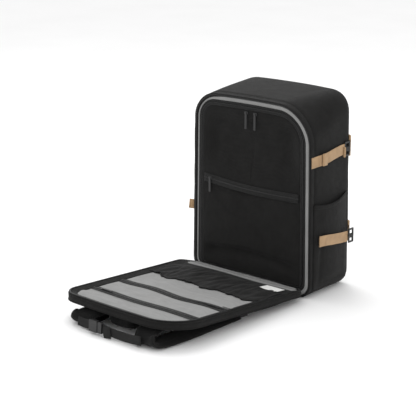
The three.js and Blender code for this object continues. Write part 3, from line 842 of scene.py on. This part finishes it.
def flap_cloth(name, near, far, height, material, slot, nodes=(), along=34):
    """Cloth laid on the flap from the edge near to the edge far, which are rules of the share across."""
    def spot(across, t):
        share = 2 * across - 1
        v = near(share) + (far(share) - near(share)) * t
        x = share * half_at(v, share)
        return flap_point(x, v, height(share, t, x, v))

    cloth = skin(name, grid(ACROSS, along, spot), material, loop_points=False)
    thicken(cloth, 0.0009)
    return place(cloth, "flap", slot, *nodes)


def flap_line(along, height, reach=1.0):
    """A line from side to side of the flap; along and height are rules."""
    line = []
    for i in range(ACROSS + 1):
        share = 2 * i / ACROSS - 1
        v = along(share)
        x = share * half_at(v, share)
        line.append(flap_point(x * reach, v, height(share, x, v)))
    return line


def lifted(rule, lift):
    """A height rule raised by lift."""
    return lambda share, t, x, v: rule(share, t, x, v) + lift


def wave_one(share):
    """The near zip's gentle wander along the flap."""
    ends = 1 - share ** 4
    return 0.0045 * ends * math.sin(5.6 * share + 0.6)


def wave_two(share):
    return 0.0028 * (1 - share ** 4) * math.sin(4.2 * share + 2.4)


def gather_edge(share):
    """The gathered pocket's edge: elastic drawn up in uneven scallops."""
    scallops = 0.006 * math.sin(9.5 * share + 1.0)
    return 0.165 + scallops + 0.004 * math.sin(17 * share) + 0.002 * math.sin(41 * share)


def gathered(share, t, x, v):
    pull = smoothstep(t, 0.0, 0.5)
    folds = 5.6 * abs(ripple(x * 1.5, v * 0.42, size=0.030, seed=6.1)) ** 0.8 * pull
    crumple = 2.0 * ripple(x * 1.4 + 0.5 * v, v, size=0.034, seed=4.4) * math.sin(math.pi * t) ** 0.5
    belly = 1.8 * math.sin(math.pi * min(t * 1.1, 1))
    walls = sum(math.exp(-((share - s) / 0.012) ** 2) for s in (-0.36, 0.30))
    high = 1.9 + (folds + crumple + belly) * (1 - 0.75 * min(walls, 1))
    return MM * min(max(high, 1.75), 8.0)


def soft_pocket(seed):
    """The height rule of a grey pocket that swells a little between its edges."""
    def height(share, t, x, v):
        body = 1.4 * math.sin(math.pi * t) * (1 - share ** 6)
        soft = 0.7 * ripple(x, v, size=0.05, seed=seed) + 0.35 * ripple(x, 2 * v, size=0.02, seed=seed)
        return MM * max(1.9 + body + soft * math.sin(math.pi * t) ** 0.5, 1.6)
    return height


def far_pocket(share, t, x, v):
    """The last pocket gapes: its opening edge dips, with deep soft folds behind it."""
    mouth = math.exp(-((t - 0.13) / 0.07) ** 2) * (1 - share ** 4)
    folds = 1.7 * ripple(x, 2.5 * v, size=0.045, seed=9.3) * math.sin(math.pi * t) ** 0.6
    swell = 2.6 * smoothstep(t, 0.1, 0.45) * (1 - smoothstep(t, 0.7, 1)) * (1 - share ** 4)
    return MM * max(2.3 + folds + swell - 2.2 * mouth, 1.5)


ZIP_ONE, ZIP_TWO, BAND = 0.249, 0.339, 0.022  # the flap's pocket zips, out from the hinge, and their width


def make_flap_inside():
    """The lining, the pockets sewn on it, their zips, the label and the light tab."""
    base = flap_cloth(
        "flap_lining_cloth", lambda s: 0.0100, lambda s: FLAP_LONG - 0.0108,
        lambda s, t, x, v: 0.0011 + 0.0002 * ripple(x, v, size=0.05), LINING, "lining", ("flap_lining",),
        along=60,
    )
    pieces = [
        ("gathered_cloth", lambda s: 0.034 + 0.002 * math.sin(5 * s), gather_edge, gathered,
         GATHER, "cover_fabric", "gathered_pocket", (0.36, 0.134)),
        ("grey_cloth_near", lambda s: 0.160, lambda s: ZIP_ONE - 0.0005 + wave_one(s), soft_pocket(1.1),
         LINING, "lining", "grey_pocket_near", (0.32, 0.090)),
        ("grey_cloth_middle", lambda s: ZIP_ONE + BAND - 0.001 + wave_one(s),
         lambda s: ZIP_TWO + 0.001 + wave_two(s), soft_pocket(5.5),
         LINING, "lining", "grey_pocket_middle", (0.31, 0.070)),
        ("grey_cloth_far", lambda s: ZIP_TWO + BAND - 0.001 + wave_two(s), lambda s: FLAP_LONG - 0.016,
         far_pocket, LINING, "lining", "grey_pocket_far", (0.29, 0.062)),
    ]
    for name, near, far, height, material, slot, node, flat in pieces:
        held, lift = ("gathered", 0.0009) if name == "gathered_cloth" else ("laid", 0.0)
        cloth = flap_cloth(name, near, far, lifted(height, lift), material, slot, (node,))
    hem = flap_line(lambda s: gather_edge(s) - 0.0015, lambda s, x, v: gathered(s, 1, x, v) + 0.0012)
    place(tube("gathered_hem", hem, 0.0016, GATHER, closed=False), "flap", "cover_fabric")
    make_flap_zip("near", ZIP_ONE, wave_one)
    make_flap_zip("far", ZIP_TWO, wave_two)
    make_label()
    refined("elastic_tab", "flap", "lining", LINING, 0.0007)
    for label in ("near", "far"):
        for kind in ("slider", "pull"):
            node = f"pocket_{kind}_{label}"
            refined(node, node, "plastic", HARD)


def make_flap_zip(label, start, wave):
    """A band across the flap that follows wave, its coil, and a row of stitches beside each edge."""
    band = flap_cloth(
        f"zip_band_{label}", lambda s: start + wave(s) - 0.0005, lambda s: start + BAND + wave(s) + 0.0005,
        lambda s, t, x, v: 0.0027 + 0.0007 * math.sin(math.pi * t), TAPE, "zip", (f"pocket_zip_{label}",),
        along=6,
    )
    line = flap_line(lambda s: start + BAND / 2 + wave(s), lambda s, x, v: 0.0040, 0.99)
    coil = dashes(f"zip_teeth_{label}", line, FLAP_UP, FLAP_TOOTH, COIL, "flap", "zip", False)
    for edge, offset in (("a", -0.0022), ("b", BAND + 0.0022)):
        line = flap_line(lambda s: start + offset + wave(s), lambda s, x, v: 0.0027, 0.98)
        name = f"zip_stitches_{label}_{edge}"
        dashes(name, line, FLAP_UP, FINE_STITCH, THREAD_GREY, "flap", "lining", False)


def make_label():
    """The blank white label on the gathered pocket, with its free corners curled."""
    wide, tall = 0.050, 0.028

    def spot(across, along):
        x, v = 0.098 + wide * across, 0.046 + tall * along
        curl = 0.0016 * smoothstep(abs(across - 0.5), 0.25, 0.5) * along + 0.0004 * ripple(x, v, size=0.015)
        return flap_point(x, v, 0.0062 + curl)

    label = skin("blank_label", grid(20, 14, spot), LABEL, loop_points=False)
    thicken(label, 0.0006)
    place(label, "flap", "label", "size_label")


def make_hinge_cloth():
    """Grey cloth from the lining edge to the flap's lining, and black cloth under it."""
    inner = [(0.0015, 0.0150), (-0.0010, 0.0200), (-0.0050, 0.0225), (-0.0100, 0.0238)]
    flap_side = [(0.0030, 0.0012), (0.0070, 0.0020), (0.0120, 0.0022)]
    outer = [(0.0010, 0.0035), (-0.0040, 0.0045), (-0.0090, 0.0085)]
    flap_outer = [(0.0020, -0.0095), (0.0060, -0.0110)]
    for name, body_points, flap_points, half, material, slot, nodes in (
        ("hinge_cloth", inner, flap_side, 0.150, LINING, "lining", ("hinge_band",)),
        ("hinge_outer_cloth", outer, flap_outer, 0.142, SHELL, "shell_fabric", ()),
    ):
        rows = []
        for i in range(61):
            share = 2 * i / 60 - 1
            row = []
            for y, z in body_points:
                sag = 0.0012 * ripple(share, y * 40, size=0.4, seed=2.0)
                row.append(Vector((share * half, OPENING_Y + y, z + sag)))
            for v, w in flap_points:
                row.append(flap_point(share * half, v, w))
            rows.append(row)
        cloth = skin(name, rows, material, loop_points=False)
        thicken(cloth, 0.0010)
        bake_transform(cloth)
        if nodes:
            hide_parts(*nodes)


# ---- harness
def ground(v):
    return -HINGE.z / math.cos(FLAP_TILT) - v * math.tan(FLAP_TILT)


def on_ground(v, thick):
    return ground(v) + thick / 2 + 0.0006


CHEST_ALONG = 0.453    # how far out from the hinge the chest strap runs
# stations of a shoulder strap: x, v and w on the flap, width and thickness
STRAP = [
    (0.062, 0.320, -0.0185, 0.062, 0.012),
    (0.072, 0.380, -0.0188, 0.060, 0.012),
    (0.084, 0.420, -0.0225, 0.058, 0.012),
    (0.094, 0.438, on_ground(0.438, 0.012) + 0.011, 0.058, 0.012),
    (0.102, 0.420, on_ground(0.420, 0.012) + 0.0005, 0.058, 0.012),
    (0.112, 0.350, on_ground(0.350, 0.012), 0.058, 0.012),
    (0.116, 0.270, on_ground(0.270, 0.012), 0.054, 0.012),
    (0.120, 0.190, on_ground(0.190, 0.011), 0.048, 0.011),
]


def catmull(points, steps):
    """A smooth line through points, with what else they hold mixed along it."""
    result = []
    count = len(points)
    for i in range(count - 1):
        p0, p1 = points[max(i - 1, 0)], points[i]
        p2, p3 = points[i + 1], points[min(i + 2, count - 1)]
        for k in range(steps + (i == count - 2)):
            t = k / steps
            row = []
            for a, b, c, d in zip(p0, p1, p2, p3):
                row.append(0.5 * (2 * b + (c - a) * t + (2 * a - 5 * b + 4 * c - d) * t * t
                                  + (3 * b - a - 3 * c + d) * t ** 3))
            result.append(row)
    return result


def make_shoulder_strap(name, side):
    stations = catmull(STRAP, 10)
    rows, edge_a, edge_b = [], [], []
    count = len(stations)
    places = [flap_point(side * x, v, w) for x, v, w, _, _ in stations]
    for i, (_, _, _, width, thick) in enumerate(stations):
        along = (places[min(i + 1, count - 1)] - places[max(i - 1, 0)]).normalized()
        across = (Vector((1, 0, 0)) - along * along.x).normalized()
        up = across.cross(along)
        taper_end = min(smoothstep(i, -1, 3), smoothstep(count - 1 - i, -1.5, 3))
        row = []
        for k in range(24):
            angle = 2 * math.pi * k / 24
            c, s = math.cos(angle), math.sin(angle)
            flat = math.copysign(abs(c) ** 0.55, c)
            tall = math.copysign(abs(s) ** 0.8, s)
            channel = 1 - 0.22 * math.exp(-((abs(flat) - 0.52) / 0.07) ** 2)
            rise = tall * thick / 2 * channel * (0.55 + 0.45 * taper_end)
            row.append(places[i] + across * (flat * (width / 2 - 0.002)) + up * rise)
        rows.append(row)
        edge_a.append(places[i] + across * (width / 2 - 0.0018))
        edge_b.append(places[i] - across * (width / 2 - 0.0018))
    pad = skin(f"strap_pad_{name}", rows, PAD, caps=True)
    place(pad, "flap", "pad_fabric", f"shoulder_strap_{name}")
    for label, line in (("a", edge_a), ("b", edge_b)):
        piping(f"strap_binding_{name}_{label}", line, 0.0018, "flap", closed=False)


PAD_SECTION = ((1.0, 0.0), (1.004, 0.25), (0.99, 0.6), (0.955, 0.86), (0.90, 0.97), (0.8, 1.0), (0.65, 1.0),
               (0.5, 1), (0.35, 1), (0.2, 1), (0.08, 1))  # (share of the outline, share of the height)
PAD_TOP = -0.0113


def make_pad(name, x_half, v_near, v_far, w_low, corner, node, grooves):
    """A crowned pad under the back panel with sewn channels across it."""
    rows = []
    for share, lift in PAD_SECTION:
        ring = outline(2 * x_half, v_near, v_far, corner, corner)
        centre = (v_near + v_far) / 2
        row = []
        for p in ring:
            x = p.x * share
            v = centre + (p.y - centre) * share
            crown = 1 - 0.10 * (x / x_half) ** 2
            dent = sum(math.exp(-((v - g) / 0.004) ** 2) for g in grooves) * smoothstep(0.98 - share, 0, 0.1)
            w = PAD_TOP + (w_low - PAD_TOP) * lift * crown * (1 - 0.45 * min(dent, 1))
            row.append(flap_point(x, v, w))
        rows.append(row)
    pad = skin(name, rows, PAD, caps=True)
    place(pad, "flap", "pad_fabric", *([node] if node else []))
    ring = outline(2 * x_half, v_near, v_far, corner, corner)
    edge = [flap_point(p.x, p.y, PAD_TOP - 0.0012) for p in ring]
    piping(f"{name}_binding", edge, 0.0013, "flap")


def make_harness():
    """The pads, the shoulder straps with their locks and webbing, and the chest strap."""
    back_grooves = (0.218, 0.245, 0.272)
    make_pad("back_pad_cushion", 0.120, 0.190, 0.300, -0.0203, 0.022, "back_pad_upper", back_grooves)
    make_pad("yoke_cushion", 0.038, 0.318, 0.424, -0.0360, 0.016, "", (0.352, 0.388))
    make_pad("lumbar_cushion", 0.108, 0.023, 0.123, -0.0222, 0.024, "lumbar_pad", (0.056, 0.090))
    for name, side in (("right", 1), ("left", -1)):
        make_shoulder_strap(name, side)
        tail = [(0.120, 0.154, ground(0.154) + 0.005), (0.127, 0.110, ground(0.110) + 0.004),
                (0.134, 0.060, ground(0.060) + 0.005), (0.140, 0.014, -0.0135)]
        line = [flap_point(side * x, v, w) for x, v, w in catmull(tail, 12)]
        band = strip(f"lower_web_{name}", line, Vector((1, 0, 0)), WEB_THICK, BLACK_WEB)
        place(band, "flap", "webbing_black", f"strap_webbing_{name}")
        refined(f"ladder_lock_{name}", "flap", "plastic", HARD, 0.0009)
    for label in ("socket", "plug"):
        refined(f"chest_buckle_{label}", "flap", "plastic", HARD, 0.0012)
    for name, x0, x1 in (("left", -0.092, -0.0563), ("right", -0.0187, 0.092)):
        line = []
        for k in range(25):
            share = k / 24
            x = x0 + (x1 - x0) * share
            sink = 0.003 * math.sin(math.pi * share) * (x1 - x0) / 0.11
            line.append(flap_point(x, CHEST_ALONG, -0.037 - sink))
        web = strip(f"chest_web_{name}", line, FLAP_UP, WEB_THICK, BLACK_WEB, 0.020)
        place(web, "flap", "webbing_black", f"chest_webbing_{name}")
    bottom = ground(CHEST_ALONG) + 0.0018
    line = []
    for k in range(21):
        share = k / 20
        w = -0.030 + (bottom + 0.030) * share
        line.append(flap_point(-0.0055 + 0.004 * share, 0.4548 + 0.0012 * math.sin(3 * share), w))
    tail = strip("chest_web_tail", line, Vector((1, 0, 0)), WEB_THICK, BLACK_WEB, 0.022)
    place(tail, "flap", "webbing_black", "chest_webbing_tail")


# ---- stage and light
def make_stage():
    bpy.context.scene.view_settings.view_transform = "Standard"
    corners = ((-6, -6, 0), (6, -6, 0), (6, 6, 0), (-6, 6, 0))
    floor = link_mesh("floor", corners, [(0, 1, 2, 3)], floor_material(), smooth=False)
    world = bpy.data.worlds.new("studio")
    bpy.context.scene.world = world
    world.use_nodes = True
    background = world.node_tree.nodes["Background"]
    background.inputs[0].default_value = (1, 1, 1, 1)
    background.inputs[1].default_value = 1.0
    add_light("key", (-1.0, 0.5, 2.2), 1.8, 30)
    add_light("fill", (1.6, -1.8, 1.5), 1.8, 6)


def floor_material():
    n = Nodes("floor_paper")
    n.link(n.ramp(n.noise(3, 2), (0.93, 0.93, 0.93), (0.95, 0.95, 0.95)), n.shader.inputs["Base Color"])
    n.shader.inputs["Roughness"].default_value = 0.9
    return n.material


def add_light(name, spot, size, power):
    data = bpy.data.lights.new(name, "AREA")
    data.shape = "SQUARE"
    data.size = size
    data.energy = power
    aimed(name, data, spot, (0, -0.1, 0.2))


make_shell()
make_seams()
make_opening()
for side_name, side_sign in (("right", 1), ("left", -1)):
    make_side_pocket(side_name, side_sign)
    make_compression_straps(side_name, side_sign)
make_strap_stub()
make_cover()
make_flap_frame()
make_flap_inside()
make_hinge_cloth()
make_harness()
make_stage()
